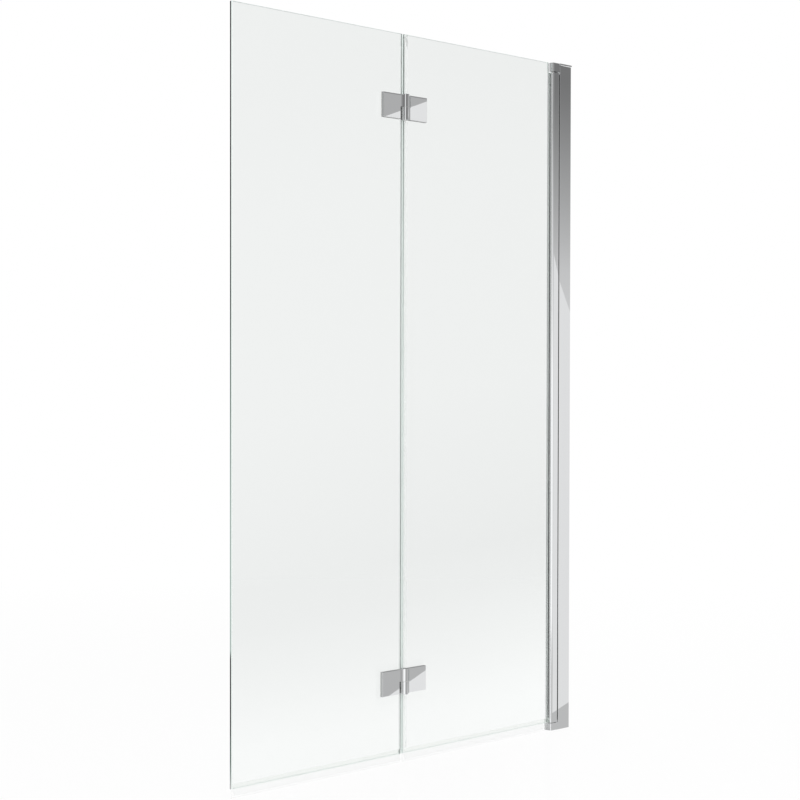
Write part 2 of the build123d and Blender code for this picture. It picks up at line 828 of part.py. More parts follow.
def hinge_leaf(side, centre, end):
    """Cast leaf: a plate on the glass, and one knuckle that stands on the plate's flare.

    side is -1 for the outer pane and 1 for the inner one, end is 1 where the knuckle is
    the upper one and -1 where it is the lower one.
    """
    flare_x = joint_x + side * flare_reach
    arc_middle = (
        flare_x - side * flare_radius * math.sin(flare_turn / 2),
        flare_y + flare_radius * math.cos(flare_turn / 2),
    )
    arc_end = (
        flare_x - side * flare_radius * math.sin(flare_turn),
        flare_y + flare_radius * math.cos(flare_turn),
    )
    root_x = joint_x + side * (leaf_cut + hinge_edge_radius * 2)
    plate_end = joint_x + side * (flare_reach + hinge_plate_width)
    plate_start = joint_x + side * leaf_cut
    knuckle_low = centre + (knuckle_gap / 2 if end > 0 else -hinge_height / 2)
    tip_low = centre + (hinge_height / 2 if end > 0 else -barrel_length / 2)
    with BuildPart() as leaf:
        with BuildSketch(Plane.XY.offset(centre - hinge_height / 2)):
            with Locations(((plate_start + plate_end) / 2, plate_back)):
                Rectangle(
                    abs(plate_end - plate_start),
                    hinge_plate_thickness,
                    align=(Align.CENTER, Align.MAX),
                )
        extrude(amount=hinge_height)
        front = leaf.faces().sort_by(Axis.Y)[0]
        fillet(front.edges(), hinge_edge_radius)
        with BuildSketch(Plane.XY.offset(knuckle_low)):
            with BuildLine():
                Line((root_x, plate_front), (flare_x, plate_front))
                ThreePointArc((flare_x, plate_front), arc_middle, arc_end)
                ThreePointArc(
                    arc_end,
                    (joint_x - side * barrel_radius, fold_y),
                    (joint_x + side * neck_end, neck_back),
                )
                Polyline(
                    (joint_x + side * neck_end, neck_back),
                    (root_x, neck_back),
                    (root_x, plate_front),
                )
            make_face()
        extrude(amount=(hinge_height - knuckle_gap) / 2)
        with BuildSketch(Plane.XY.offset(tip_low)):
            with Locations((joint_x, fold_y)):
                Circle(barrel_radius)
        extrude(amount=(barrel_length - hinge_height) / 2)
        tip = leaf.faces().sort_by(Axis.Z)[-1 if end > 0 else 0]
        chamfer(tip.edges(), barrel_chamfer)
        bore = hinge_pin_radius if side < 0 else hinge_pin_radius + bush_wall
        knuckle_face = Plane(
            origin=(joint_x, fold_y, centre + end * barrel_length / 2), z_dir=(0, 0, end)
        )
        with Locations(knuckle_face):
            Hole(bore, depth=barrel_length / 2)
        with Locations(*[
            facing_back(joint_x + side * clamp_reach, plate_back, centre + step * clamp_spacing / 2)
            for step in (-1, 1)
        ]):
            Hole(
                clamp_shank_radius,
                depth=clamp_thread_length - hinge_gasket + clamp_thread_extra,
            )
    return leaf


def hinge_gasket_pad(side, centre):
    """Fibre pad between a leaf's plate and the glass."""
    with BuildPart() as pad:
        with BuildSketch(facing_front(joint_x + side * flare_reach, -half_glass, centre)):
            Rectangle(
                hinge_plate_width,
                hinge_height,
                align=(Align.MIN if side > 0 else Align.MAX, Align.CENTER),
            )
            with Locations(*[
                (side * (clamp_reach - flare_reach), step * clamp_spacing / 2)
                for step in (-1, 1)
            ]):
                Circle(glass_hole, mode=Mode.SUBTRACT)
            with Locations((0, 0)):
                Rectangle(
                    2 * (leaf_cut - flare_reach),
                    hinge_height,
                    mode=Mode.SUBTRACT,
                )
        extrude(amount=hinge_gasket)
    return pad


def clamp_sleeves(planes):
    """Nylon sleeves that line the holes of the glass and stand a little proud behind it."""
    with BuildPart() as sleeves:
        with BuildSketch(*[plane.offset(-clamp_sleeve_proud) for plane in planes]):
            Circle(sleeve_radius)
            Circle(sleeve_bore, mode=Mode.SUBTRACT)
        extrude(amount=clamp_sleeve_proud + glass_thickness)
    return sleeves


def clamp_screws(planes):
    """Disc-headed screws from behind, through the sleeves, into the leaf."""
    seats = [plane.offset(-clamp_sleeve_proud) for plane in planes]
    with BuildPart() as screws:
        with BuildSketch(*seats):
            Circle(clamp_disc_radius)
        extrude(amount=-clamp_disc_thickness)
        with BuildSketch(*seats):
            Circle(clamp_shank_radius)
        extrude(amount=clamp_sleeve_proud + glass_thickness + clamp_thread_length)
        with BuildSketch(*[seat.offset(-clamp_disc_thickness) for seat in seats]):
            RegularPolygon(clamp_socket_size / 2, 6, major_radius=False)
        extrude(amount=clamp_socket_depth, mode=Mode.SUBTRACT)
    return screws


def hinge_pin(centre):
    """Stainless pin, fast in the outer leaf's knuckle."""
    with BuildPart() as pin:
        length = barrel_length - 2 * hinge_pin_recess
        with BuildSketch(Plane.XY.offset(centre - length / 2)):
            with Locations((joint_x, fold_y)):
                Circle(hinge_pin_radius)
        extrude(amount=length)
        chamfer(pin.faces().filter_by(Plane.XY).edges(), hinge_pin_chamfer)
    return pin


def hinge_bush(centre):
    """Acetal bush in the inner leaf's knuckle, with a flange between the knuckles."""
    running_bore = hinge_pin_radius + bush_running_clearance
    with BuildPart() as bush:
        with BuildSketch(Plane.XY.offset(centre - barrel_length / 2 + hinge_pin_recess)):
            with Locations((joint_x, fold_y)):
                Circle(hinge_pin_radius + bush_wall)
                Circle(running_bore, mode=Mode.SUBTRACT)
        extrude(amount=(barrel_length - knuckle_gap) / 2 - hinge_pin_recess)
        with BuildSketch(Plane.XY.offset(centre - knuckle_gap / 2)):
            with Locations((joint_x, fold_y)):
                Circle(bush_flange_radius)
                Circle(running_bore, mode=Mode.SUBTRACT)
        extrude(amount=knuckle_gap - axial_clearance)
    return bush


for place, centre in hinge_heights.items():
    finish(hinge_leaf(-1, centre, 1), f"{place}_hinge_outer_leaf")
    finish(hinge_leaf(1, centre, -1), f"{place}_hinge_inner_leaf")
    finish(hinge_pin(centre), f"{place}_hinge_pin")
    finish(hinge_bush(centre), f"{place}_hinge_bush")
    for pane, side in (("outer", -1), ("inner", 1)):
        planes = clamp_planes(side, centre)
        finish(hinge_gasket_pad(side, centre), f"{place}_hinge_{pane}_gasket")
        finish(clamp_sleeves(planes), f"{place}_hinge_{pane}_sleeves")
        finish(clamp_screws(planes), f"{place}_hinge_{pane}_screws")
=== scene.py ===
import math

import bmesh
import bpy
from mathutils import Matrix, Vector


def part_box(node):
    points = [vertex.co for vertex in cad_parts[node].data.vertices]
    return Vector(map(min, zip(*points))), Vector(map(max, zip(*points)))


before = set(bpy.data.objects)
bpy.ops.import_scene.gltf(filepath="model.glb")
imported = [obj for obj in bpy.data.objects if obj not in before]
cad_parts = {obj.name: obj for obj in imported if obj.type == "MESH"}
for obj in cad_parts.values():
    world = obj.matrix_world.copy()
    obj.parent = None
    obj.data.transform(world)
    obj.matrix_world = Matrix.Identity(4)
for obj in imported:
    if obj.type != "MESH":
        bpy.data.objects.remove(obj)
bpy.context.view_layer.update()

# ---- Wall channel --------------------------------------------------------------------------------
# The channel that is screwed to the wall, over which the adjusting profile slides. It is extruded
# aluminium with a satin natural anodised finish: a soft grey sheen at its open ends, with the fine
# lines of the die along it.

# Real die lines are about 0.1 mm apart. They are drawn coarser, and show close up.
DIE_LINE = 0.0004
DIE_LINE_STRETCH = 500
SATIN_ROUGHNESS = (0.28, 0.42)
FURROW_STRENGTH = 0.25
FURROW_DEPTH = 0.00005


def linear(hex_colour):
    """Linear colour, with alpha, of an sRGB hex value."""
    channels = [int(hex_colour[at:at + 2], 16) / 255 for at in (1, 3, 5)]
    return [c / 12.92 if c <= 0.04045 else ((c + 0.055) / 1.055) ** 2.4 for c in channels] + [1.0]


def add(tree, kind, settings=None, links=None, stops=()):
    """Node of a kind, with its settings, its links and, for a ramp, its stops.

    A link is an input's name or number with a value or a socket, and a stop is a position
    with a colour.
    """
    node = tree.nodes.new(kind)
    for name, value in (settings or {}).items():
        setattr(node, name, value)
    for name, value in (links or {}).items():
        socket = node.inputs[name]
        if isinstance(value, bpy.types.NodeSocket):
            tree.links.new(value, socket)
        else:
            socket.default_value = value
    for at, (position, colour) in enumerate(stops):
        elements = node.color_ramp.elements
        stop = elements[at] if at < 2 else elements.new(position)
        stop.position = position
        stop.color = colour
    return node


def material(name):
    """Empty node material, its tree and its object coordinates."""
    made = bpy.data.materials.new(name)
    made.use_nodes = True
    made.node_tree.nodes.clear()
    return made, made.node_tree, add(made.node_tree, "ShaderNodeTexCoord").outputs["Object"]


def grained(tree, place, size, roughness, stretch=1, detail=2.0):
    """Random pattern of a real size, drawn out upwards by a factor, and the roughness it gives."""
    drawn = add(tree, "ShaderNodeMapping", {}, {"Vector": place, "Scale": (1, 1, 1 / stretch)})
    pattern = add(tree, "ShaderNodeTexNoise", {}, {
        "Vector": drawn.outputs[0], "Scale": 1 / size, "Detail": detail})
    uneven = add(tree, "ShaderNodeMapRange", {}, {
        "Value": pattern.outputs["Fac"], "To Min": roughness[0], "To Max": roughness[1]})
    return pattern.outputs["Fac"], uneven.outputs[0]


def surface(tree, shader):
    """Send a shader to the material's output."""
    add(tree, "ShaderNodeOutputMaterial", {}, {"Surface": shader.outputs[0]})


def finish_with(made, *nodes):
    """Give CAD nodes their finish."""
    for node in nodes:
        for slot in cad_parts[node].material_slots:
            slot.material = made


satin_aluminium, tree, place = material("satin_anodised_aluminium")
die_lines, roughness = grained(tree, place, DIE_LINE, SATIN_ROUGHNESS, DIE_LINE_STRETCH)
furrows = add(tree, "ShaderNodeBump", {}, {
    "Height": die_lines, "Strength": FURROW_STRENGTH, "Distance": FURROW_DEPTH})
surface(tree, add(tree, "ShaderNodeBsdfPrincipled", {}, {
    "Base Color": linear("#D2D4D6"), "Metallic": 1.0, "Roughness": roughness,
    "Normal": furrows.outputs[0]}))
finish_with(satin_aluminium, "wall_profile")

# ---- Adjusting profile and rotating profile ------------------------------------------------------
# The box section that slides over the wall channel, and the profile that holds the pane and turns
# in its socket. Both are extruded aluminium, polished on a wheel and bright anodised, which mirrors
# the room nearly as chrome does, in long clean bands.

# A polishing wheel leaves lines about 0.1 mm apart. They are drawn coarser, as faint streaks.
POLISH_LINE = 0.0015
POLISH_STRETCH = 100
BRIGHT_ROUGHNESS = (0.02, 0.05)

bright_aluminium, tree, place = material("bright_anodised_aluminium")
_, roughness = grained(tree, place, POLISH_LINE, BRIGHT_ROUGHNESS, POLISH_STRETCH)
surface(tree, add(tree, "ShaderNodeBsdfPrincipled", {}, {
    "Base Color": linear("#F0F1F2"), "Metallic": 1.0, "Roughness": roughness}))
finish_with(bright_aluminium, "adjusting_profile", "rotating_profile")

# ---- Lip seal of the pivot -----------------------------------------------------------------------
# A soft strip of black EPDM rubber, extruded and pushed into the groove of the adjusting
# profile's socket. It is dull and takes up light.

# Real rubber has a grain of about 0.1 mm. It is drawn coarser, and shows close up.
RUBBER_GRAIN = 0.0008
RUBBER_ROUGHNESS = (0.5, 0.7)

rubber, tree, place = material("extruded_epdm_rubber")
_, roughness = grained(tree, place, RUBBER_GRAIN, RUBBER_ROUGHNESS)
surface(tree, add(tree, "ShaderNodeBsdfPrincipled", {}, {
    "Base Color": linear("#2A2B2D"), "Roughness": roughness}))
finish_with(rubber, "pivot_lip_seal")

# ---- Pivot blocks and top cap --------------------------------------------------------------------
# The blocks in the ends of the adjusting profile, which carry the pivot pins, and the plate on top.
# They are zinc die castings, polished and chrome plated: a hard bright mirror, a touch wavy where
# the casting was polished.

# The waves of a hand-polished casting, in their real size.
CASTING_WAVE = 0.012
WAVE_DETAIL = 1.0
WAVE_STRENGTH = 0.04
WAVE_DEPTH = 0.0002
CHROME_ROUGHNESS = (0.01, 0.03)

chrome, tree, place = material("polished_chrome_plate")
waves, roughness = grained(tree, place, CASTING_WAVE, CHROME_ROUGHNESS, detail=WAVE_DETAIL)
ripple = add(tree, "ShaderNodeBump", {}, {
    "Height": waves, "Strength": WAVE_STRENGTH, "Distance": WAVE_DEPTH})
surface(tree, add(tree, "ShaderNodeBsdfPrincipled", {}, {
    "Base Color": linear("#F0F1F2"), "Metallic": 1.0, "Roughness": roughness,
    "Normal": ripple.outputs[0]}))
finish_with(chrome, "bottom_pivot_block", "top_pivot_block", "profile_top_cap")

# ---- Screws and pins -----------------------------------------------------------------------------
# The screws of the blocks and of the adjusting profile, and the two pivot pins. They are
# stainless steel, turned or rolled and then tumbled: warmer and softer than the chrome.

# Real tool marks are about 0.1 mm apart. They are drawn coarser, and show close up.
TOOL_MARK = 0.0003
TUMBLED_ROUGHNESS = (0.16, 0.3)

steel, tree, place = material("turned_stainless_steel")
_, roughness = grained(tree, place, TOOL_MARK, TUMBLED_ROUGHNESS)
surface(tree, add(tree, "ShaderNodeBsdfPrincipled", {}, {
    "Base Color": linear("#D6D5D3"), "Metallic": 1.0, "Roughness": roughness}))
finish_with(steel, "bottom_block_screws", "top_block_screws", "bottom_pivot_pin", "top_pivot_pin",
            "adjusting_screws")

# ---- Washer, bearings and screw covers -----------------------------------------------------------
# The washer under the rotating profile, the bearings in its ends and the covers over the adjusting
# screws. They are injection-moulded acetal, off-white, with the fine matt grain of the mould.

# A mould's grain is about 0.1 mm. It is drawn coarser, and shows close up.
MOULD_GRAIN = 0.0005
MOULDED_ROUGHNESS = (0.3, 0.42)

acetal, tree, place = material("moulded_acetal")
_, roughness = grained(tree, place, MOULD_GRAIN, MOULDED_ROUGHNESS)
surface(tree, add(tree, "ShaderNodeBsdfPrincipled", {}, {
    "Base Color": linear("#DCDCD8"), "Roughness": roughness}))
finish_with(acetal, "bottom_thrust_washer", "bottom_pivot_bearing", "top_pivot_bearing",
            "adjusting_screw_caps")

# ---- Panes ---------------------------------------------------------------------------------------
# Clear float glass, 6 mm thick, cut, ground at its edges and then toughened. Its faces are almost
# colourless. Its ground edges are pale green, with painted reflection and shade: tones up the free
# edge, a painted dark line where they look into the room, and painted shade all through at hinges.

EDGE_GREEN = linear("#F2FAF7")
# Painted shade of the edges at the hinges.
PAINTED_HINGE_SHADE = linear("#1C1F1E")
EDGE_ROUGHNESS = 0.2
SCREEN_HEIGHT = 1.4
# Half the height of the painted hinge shade.
HINGE_HALF_HEIGHT = 0.024
# How near the free end and the faces a point still belongs to them.
FREE_EDGE_DEPTH = 0.001
FACE_DEPTH = 0.00002
# A face whose normal rises or falls by more than this is the top or the bottom of the pane.
FACING_UP = 0.5

outer_start, outer_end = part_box("outer_glass")
inner_start, inner_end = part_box("inner_glass")
glass_thickness = inner_end[1] - inner_start[1]
fold_middle = (outer_end[0] + inner_start[0]) / 2
seal_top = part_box("inner_bottom_seal")[1][2]
hinge_middles = [sum(corner[2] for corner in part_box(f"{end}_hinge_pin")) / 2 for end in ("upper", "lower")]

glass, tree, place = material("toughened_float_glass")
parts = add(tree, "ShaderNodeSeparateXYZ", {}, {0: place}).outputs
height = add(tree, "ShaderNodeMath", {"operation": "DIVIDE"}, {
    0: parts["Z"], 1: SCREEN_HEIGHT}).outputs[0]
depth = add(tree, "ShaderNodeMath", {"operation": "MULTIPLY_ADD"}, {
    0: parts["Y"], 1: 1 / glass_thickness, 2: 0.5}).outputs[0]


def grey(level):
    """Neutral colour of a linear level."""
    return (level, level, level, 1.0)


def edge_with_painted_light(tree, height, depth, tones, band):
    """Colour of a ground edge, with painted light and shade up the pane on a band of its thickness."""
    upwards = add(tree, "ShaderNodeValToRGB", {}, {0: height},
                  [(at, linear(tone)) for at, tone in tones])
    shown = add(tree, "ShaderNodeValToRGB", {}, {0: depth},
                [(at, grey(share)) for at, share in band])
    return add(tree, "ShaderNodeMix", {"data_type": "RGBA"}, {
        "Factor": shown.outputs[0], 6: EDGE_GREEN, 7: upwards.outputs[0]}).outputs[2]


# Painted reflection and shade: the free edge darkens and lightens up the pane on a band of its thickness.
painted_free_edge = edge_with_painted_light(tree, height, depth, [
    (0.016, "#B8B8B8"), (0.029, "#87938F"), (0.047, "#53655F"), (0.066, "#4F605A"),
    (0.085, "#0E100F"), (0.178, "#0E100F"), (0.186, "#A9BAB4"), (0.24, "#A9BAB4"),
    (0.367, "#9FB0AA"), (0.494, "#748580"), (0.62, "#3E4A47"), (0.82, "#161817")],
    [(0.39, 0.0), (0.45, 1.0)])
# Painted shade: the outer pane's fold edge is nearly black on a band of its thickness.
painted_outer_fold_edge = edge_with_painted_light(tree, height, depth, [(0.0, "#050606"), (1.0, "#050606")],
                              [(0.47, 0.0), (0.54, 1.0), (0.8, 1.0), (0.87, 0.0)])
# Painted shade: the inner pane's fold edge darkens towards the top, on a band of its thickness.
painted_inner_fold_edge = edge_with_painted_light(tree, height, depth, [
    (0.5, "#E2E9E6"), (0.8, "#A8B0AC"), (0.92, "#6E7673")], [(0.42, 1.0), (0.6, 0.0)])

# Each row's colour, own colour or painted light and shade, takes over from those above it where the
# comparison holds.
facing = add(tree, "ShaderNodeNewGeometry")
facing = add(tree, "ShaderNodeSeparateXYZ", {}, {0: facing.outputs["True Normal"]})
upright = add(tree, "ShaderNodeMath", {"operation": "ABSOLUTE"}, {0: facing.outputs["Z"]})
edge_colour_and_painted_light = painted_inner_fold_edge
for operation, values, colour in [
        ("LESS_THAN", {0: parts["X"], 1: fold_middle}, painted_outer_fold_edge),
        # Painted shade: the edges go dark at each hinge's height.
        ("COMPARE", {0: parts["Z"], 1: hinge_middles[0], 2: HINGE_HALF_HEIGHT}, PAINTED_HINGE_SHADE),
        ("COMPARE", {0: parts["Z"], 1: hinge_middles[1], 2: HINGE_HALF_HEIGHT}, PAINTED_HINGE_SHADE),
        ("LESS_THAN", {0: parts["X"], 1: outer_start[0] + FREE_EDGE_DEPTH}, painted_free_edge),
        ("GREATER_THAN", {0: upright.outputs[0], 1: FACING_UP}, EDGE_GREEN)]:
    holds = add(tree, "ShaderNodeMath", {"operation": operation}, values)
    edge_colour_and_painted_light = add(tree, "ShaderNodeMix", {"data_type": "RGBA"}, {
        "Factor": holds.outputs[0], 6: edge_colour_and_painted_light, 7: colour}).outputs[2]
edges = add(tree, "ShaderNodeBsdfPrincipled", {}, {
    "Base Color": edge_colour_and_painted_light, "Roughness": EDGE_ROUGHNESS})

faces = add(tree, "ShaderNodeBsdfPrincipled", {}, {
    "Base Color": linear("#F7F9F8"), "Roughness": 0.0, "IOR": 1.52, "Transmission Weight": 1.0})
inward = add(tree, "ShaderNodeMath", {"operation": "ABSOLUTE"}, {0: parts["Y"]})
on_face = add(tree, "ShaderNodeMath", {"operation": "GREATER_THAN"}, {
    0: inward.outputs[0], 1: glass_thickness / 2 - FACE_DEPTH})
pane = add(tree, "ShaderNodeMixShader", {}, {
    0: on_face.outputs[0], 1: edges.outputs[0], 2: faces.outputs[0]})

# Where the bottom seals lie on the faces, the seals alone mirror.
wrapped = add(tree, "ShaderNodeBsdfTransparent", {}, {"Color": linear("#FBFCFB")})
low = add(tree, "ShaderNodeMath", {"operation": "LESS_THAN"}, {0: parts["Z"], 1: seal_top})
in_seal = add(tree, "ShaderNodeMath", {"operation": "MULTIPLY"}, {
    0: low.outputs[0], 1: on_face.outputs[0]})
pane = add(tree, "ShaderNodeMixShader", {}, {
    0: in_seal.outputs[0], 1: pane.outputs[0], 2: wrapped.outputs[0]})

# The panes throw almost no shadow.
rays = add(tree, "ShaderNodeLightPath").outputs
through = add(tree, "ShaderNodeBsdfTransparent", {}, {"Color": linear("#F2F6F4")})
surface(tree, add(tree, "ShaderNodeMixShader", {}, {
    0: rays["Is Shadow Ray"], 1: pane.outputs[0], 2: through.outputs[0]}))
finish_with(glass, "inner_glass", "outer_glass")

# ---- Clear seals ---------------------------------------------------------------------------------
# The joint seal and the two bottom seals, which are pushed over the panes' edges. They are soft
# clear PVC, extruded: a pale glossy film that hides little of what is behind it.

# Real draw lines are a few tenths of a millimetre apart. They are drawn coarser.
DRAW_LINE = 0.001
DRAW_LINE_STRETCH = 100
FILM_ROUGHNESS = (0.1, 0.2)
FILM_COVER = 0.07
# From the fifth film behind each other they glow a plain pale white, a painted light, and don't darken
# further.
FILMS = 4.5

pvc, tree, place = material("extruded_clear_pvc")
_, roughness = grained(tree, place, DRAW_LINE, FILM_ROUGHNESS, DRAW_LINE_STRETCH)
film = add(tree, "ShaderNodeBsdfPrincipled", {}, {
    "Base Color": linear("#F4F6F5"), "Roughness": roughness, "Alpha": FILM_COVER, "IOR": 1.53})
rays = add(tree, "ShaderNodeLightPath").outputs
many = add(tree, "ShaderNodeMath", {"operation": "GREATER_THAN"}, {
    0: rays["Transparent Depth"], 1: FILMS})
# Painted light: past that depth the film glows pale white in place of what lies behind it.
painted_glow = add(tree, "ShaderNodeEmission", {}, {"Color": linear("#F8FAF9"), "Strength": 1.0})
surface(tree, add(tree, "ShaderNodeMixShader", {}, {
    0: many.outputs[0], 1: film.outputs[0], 2: painted_glow.outputs[0]}))
finish_with(pvc, "joint_seal", "inner_bottom_seal", "outer_bottom_seal")

# ---- Glazing wedge and tape ----------------------------------------------------------------------
# The strips that hold the pane in its profile: the tape before it and the wedge pressed in
# behind it. They are soft pale grey PVC, extruded, and look satin and opaque.

# Real PVC strip has a grain of about 0.1 mm. It is drawn coarser, and shows close up.
STRIP_GRAIN = 0.0008
STRIP_ROUGHNESS = (0.35, 0.5)

strip_pvc, tree, place = material("extruded_grey_pvc")
_, roughness = grained(tree, place, STRIP_GRAIN, STRIP_ROUGHNESS)
surface(tree, add(tree, "ShaderNodeBsdfPrincipled", {}, {
    "Base Color": linear("#CFD3D2"), "Roughness": roughness}))
finish_with(strip_pvc, "glazing_wedge", "glazing_tape")

# ---- Hinges --------------------------------------------------------------------------------------
# Each hinge clamps both panes through holes. Its leaves are zinc castings, polished and chrome
# plated, and its pin and clamp screws stainless steel. What keeps the metal apart and off the
# glass, bush, gaskets and sleeves, has the moulded off-white finish.

for end in ("upper", "lower"):
    finish_with(chrome, f"{end}_hinge_inner_leaf", f"{end}_hinge_outer_leaf")
    finish_with(steel, f"{end}_hinge_inner_screws", f"{end}_hinge_outer_screws", f"{end}_hinge_pin")
    finish_with(acetal, f"{end}_hinge_inner_sleeves", f"{end}_hinge_outer_sleeves",
                f"{end}_hinge_bush", f"{end}_hinge_inner_gasket", f"{end}_hinge_outer_gasket")

# ---- Floor ---------------------------------------------------------------------------------------
# A round floor, painted white with a satin sheen. It fades into the white room round it and keeps
# a faint shadow of the screen. Metal and glass don't mirror it.

FLOOR_RADIUS = 4.0
FLOOR_SIDES = 96
FLOOR_MIDDLE = -0.5
FLOOR_GAP = 0.0003
FLOOR_ROUGHNESS = 0.2
FLOOR_GLOW = 0.93
FADE_START = 0.3
FADE_END = 0.9
# Ray depths are whole numbers, so a half tells none from one.
ONE_BOUNCE = 0.5

floor_mesh = bmesh.new()
bmesh.ops.create_circle(floor_mesh, cap_ends=True, segments=FLOOR_SIDES, radius=FLOOR_RADIUS)
floor_data = bpy.data.meshes.new("floor")
floor_mesh.to_mesh(floor_data)
floor = bpy.data.objects.new("floor", floor_data)
floor.location = (FLOOR_MIDDLE, 0, -FLOOR_GAP)
bpy.context.scene.collection.objects.link(floor)


def looked_at(tree, rays):
    """1 for what the camera sees, straight or through glass, and 0 for all other rays."""
    return add(tree, "ShaderNodeMath", {"operation": "MAXIMUM"}, {
        0: rays["Is Camera Ray"], 1: rays["Is Transmission Ray"]}).outputs[0]


def mirrored_only(tree, rays):
    """1 for rays that polished surfaces alone have turned, and 0 for all others."""
    glossy = add(tree, "ShaderNodeMath", {"operation": "GREATER_THAN"}, {
        0: rays["Glossy Depth"], 1: ONE_BOUNCE})
    sharp = add(tree, "ShaderNodeMath", {"operation": "LESS_THAN"}, {
        0: rays["Diffuse Depth"], 1: ONE_BOUNCE})
    return add(tree, "ShaderNodeMath", {"operation": "MULTIPLY"}, {
        0: glossy.outputs[0], 1: sharp.outputs[0]}).outputs[0]


floor_paint, tree, place = material("satin_white_floor")
rays = add(tree, "ShaderNodeLightPath").outputs
distance = add(tree, "ShaderNodeVectorMath", {"operation": "LENGTH"}, {0: place})
distance = add(tree, "ShaderNodeMath", {"operation": "DIVIDE"}, {
    0: distance.outputs["Value"], 1: FLOOR_RADIUS})
fade = add(tree, "ShaderNodeValToRGB", {}, {0: distance.outputs[0]},
           [(FADE_START, grey(0.0)), (FADE_END, grey(1.0))])
painted = add(tree, "ShaderNodeBsdfPrincipled", {}, {
    "Base Color": linear("#FCFCFC"), "Roughness": FLOOR_ROUGHNESS})
glow = add(tree, "ShaderNodeEmission", {}, {"Color": grey(1.0), "Strength": 1.0})
lit = add(tree, "ShaderNodeMixShader", {}, {0: FLOOR_GLOW, 1: painted.outputs[0], 2: glow.outputs[0]})
lit = add(tree, "ShaderNodeMixShader", {}, {0: fade.outputs[0], 1: lit.outputs[0], 2: glow.outputs[0]})
seen = add(tree, "ShaderNodeMixShader", {}, {
    0: looked_at(tree, rays), 1: painted.outputs[0], 2: lit.outputs[0]})
clear = add(tree, "ShaderNodeBsdfTransparent")
surface(tree, add(tree, "ShaderNodeMixShader", {}, {
    0: mirrored_only(tree, rays), 1: seen.outputs[0], 2: clear.outputs[0]}))
floor_data.materials.append(floor_paint)

# ---- Room ----------------------------------------------------------------------------------------
# A white studio. What metal and glass mirror of it is greyer: bands round the compass, which differ
# above, at and below eye level, and a fall from light below to dark above. The tables give degrees
# and linear levels.

ROOM_WHITE = 0.95
# The middle of the bay in radians, and how far its bands rise for each radian.
BAY_MIDDLE = -0.707
BAY_LEAN = 0.19

world = bpy.data.worlds.new("studio")
bpy.context.scene.world = world
world.use_nodes = True
tree = world.node_tree
tree.nodes.clear()
rays = add(tree, "ShaderNodeLightPath").outputs
direction = add(tree, "ShaderNodeTexCoord").outputs["Generated"]
parts = add(tree, "ShaderNodeSeparateXYZ", {}, {0: direction}).outputs
compass = add(tree, "ShaderNodeMath", {"operation": "ARCTAN2"}, {0: parts["Y"], 1: parts["X"]}).outputs[0]
turn = add(tree, "ShaderNodeMapRange", {}, {
    "Value": compass, "From Min": -math.pi, "From Max": math.pi}).outputs[0]


def bands_round(tree, turn, *bands):
    """Levels round the compass."""
    stops = [((degrees + 180) / 360, grey(level)) for degrees, level in bands]
    return add(tree, "ShaderNodeValToRGB", {}, {0: turn}, stops).outputs[0]


def rise_of(degrees):
    """Height of a direction at an elevation, where straight up is 1."""
    return math.sin(math.radians(degrees))


def bands_up(tree, rise, lowest, highest, *bands):
    """Levels up the room, between two elevations."""
    low, high = rise_of(lowest), rise_of(highest)
    share = add(tree, "ShaderNodeMapRange", {}, {"Value": rise, "From Min": low, "From Max": high})
    stops = [((rise_of(degrees) - low) / (high - low), grey(level)) for degrees, level in bands]
    return add(tree, "ShaderNodeValToRGB", {}, {0: share.outputs[0]}, stops).outputs[0]


def change_over(tree, rise, start, end, lower, upper):
    """Lower bands that give way to upper ones between two elevations."""
    share = add(tree, "ShaderNodeMapRange", {}, {
        "Value": rise, "From Min": rise_of(start), "From Max": rise_of(end)})
    return add(tree, "ShaderNodeMix", {"data_type": "RGBA"}, {
        "Factor": share.outputs[0], 6: lower, 7: upper}).outputs[2]


high_bands = bands_round(
    tree, turn, (-180, 0.26), (-172, 0.24), (-166, 1.0), (-142, 1.0), (-136, 0.26), (-126, 0.24),
    (-98, 0.24), (-84, 0.32), (-62, 0.36), (-50, 0.4), (0, 0.48), (20, 0.9), (37.6, 0.95), (38.4, 0.3),
    (43, 0.3), (44, 0.12), (76, 0.12), (80, 0.93), (100, 0.9), (118, 0.46), (160, 0.46), (180, 0.3))
middle_bands = bands_round(
    tree, turn, (-180, 1.05), (-62, 1.05), (-52, 0.5), (0, 0.48), (20, 0.9), (37.6, 0.95),
    (38.4, 0.08), (76, 0.08), (80, 0.93), (100, 0.9), (118, 0.46), (148, 0.46), (158, 1.05),
    (180, 1.05))
low_bands = bands_round(
    tree, turn, (-180, 0.85), (-168, 1.0), (-150, 1.05), (-138, 1.05), (-128, 0.9), (-120, 0.72),
    (-110, 0.5), (-90, 0.4), (-74, 0.42), (-50, 0.4), (0, 0.48), (20, 0.9), (37.6, 0.95),
    (38.4, 0.08), (76, 0.08), (80, 0.93), (100, 0.9), (118, 0.46), (156, 0.46), (168, 0.8),
    (180, 0.85))
level = change_over(tree, parts["Z"], 0, 7.2, middle_bands, high_bands)
level = change_over(tree, parts["Z"], -8, -6.6, low_bands, level)

# On one side the dark band ends just above eye level.
side = bands_round(tree, turn, (43, 0.0), (44, 1.0), (76, 1.0), (80, 0.0))
topped = change_over(tree, parts["Z"], 8.0, 8.4, level, grey(ROOM_WHITE))
level = add(tree, "ShaderNodeMix", {"data_type": "RGBA"}, {"Factor": side, 6: level, 7: topped})
fall = bands_up(tree, parts["Z"], -14, 40, (-14, 1.0), (0, 1.0), (5, 0.95), (8, 0.88), (12, 0.8), (40, 0.5))
level = add(tree, "ShaderNodeMix", {"data_type": "RGBA", "blend_type": "MULTIPLY"}, {
    "Factor": 1.0, 6: level.outputs[2], 7: fall})

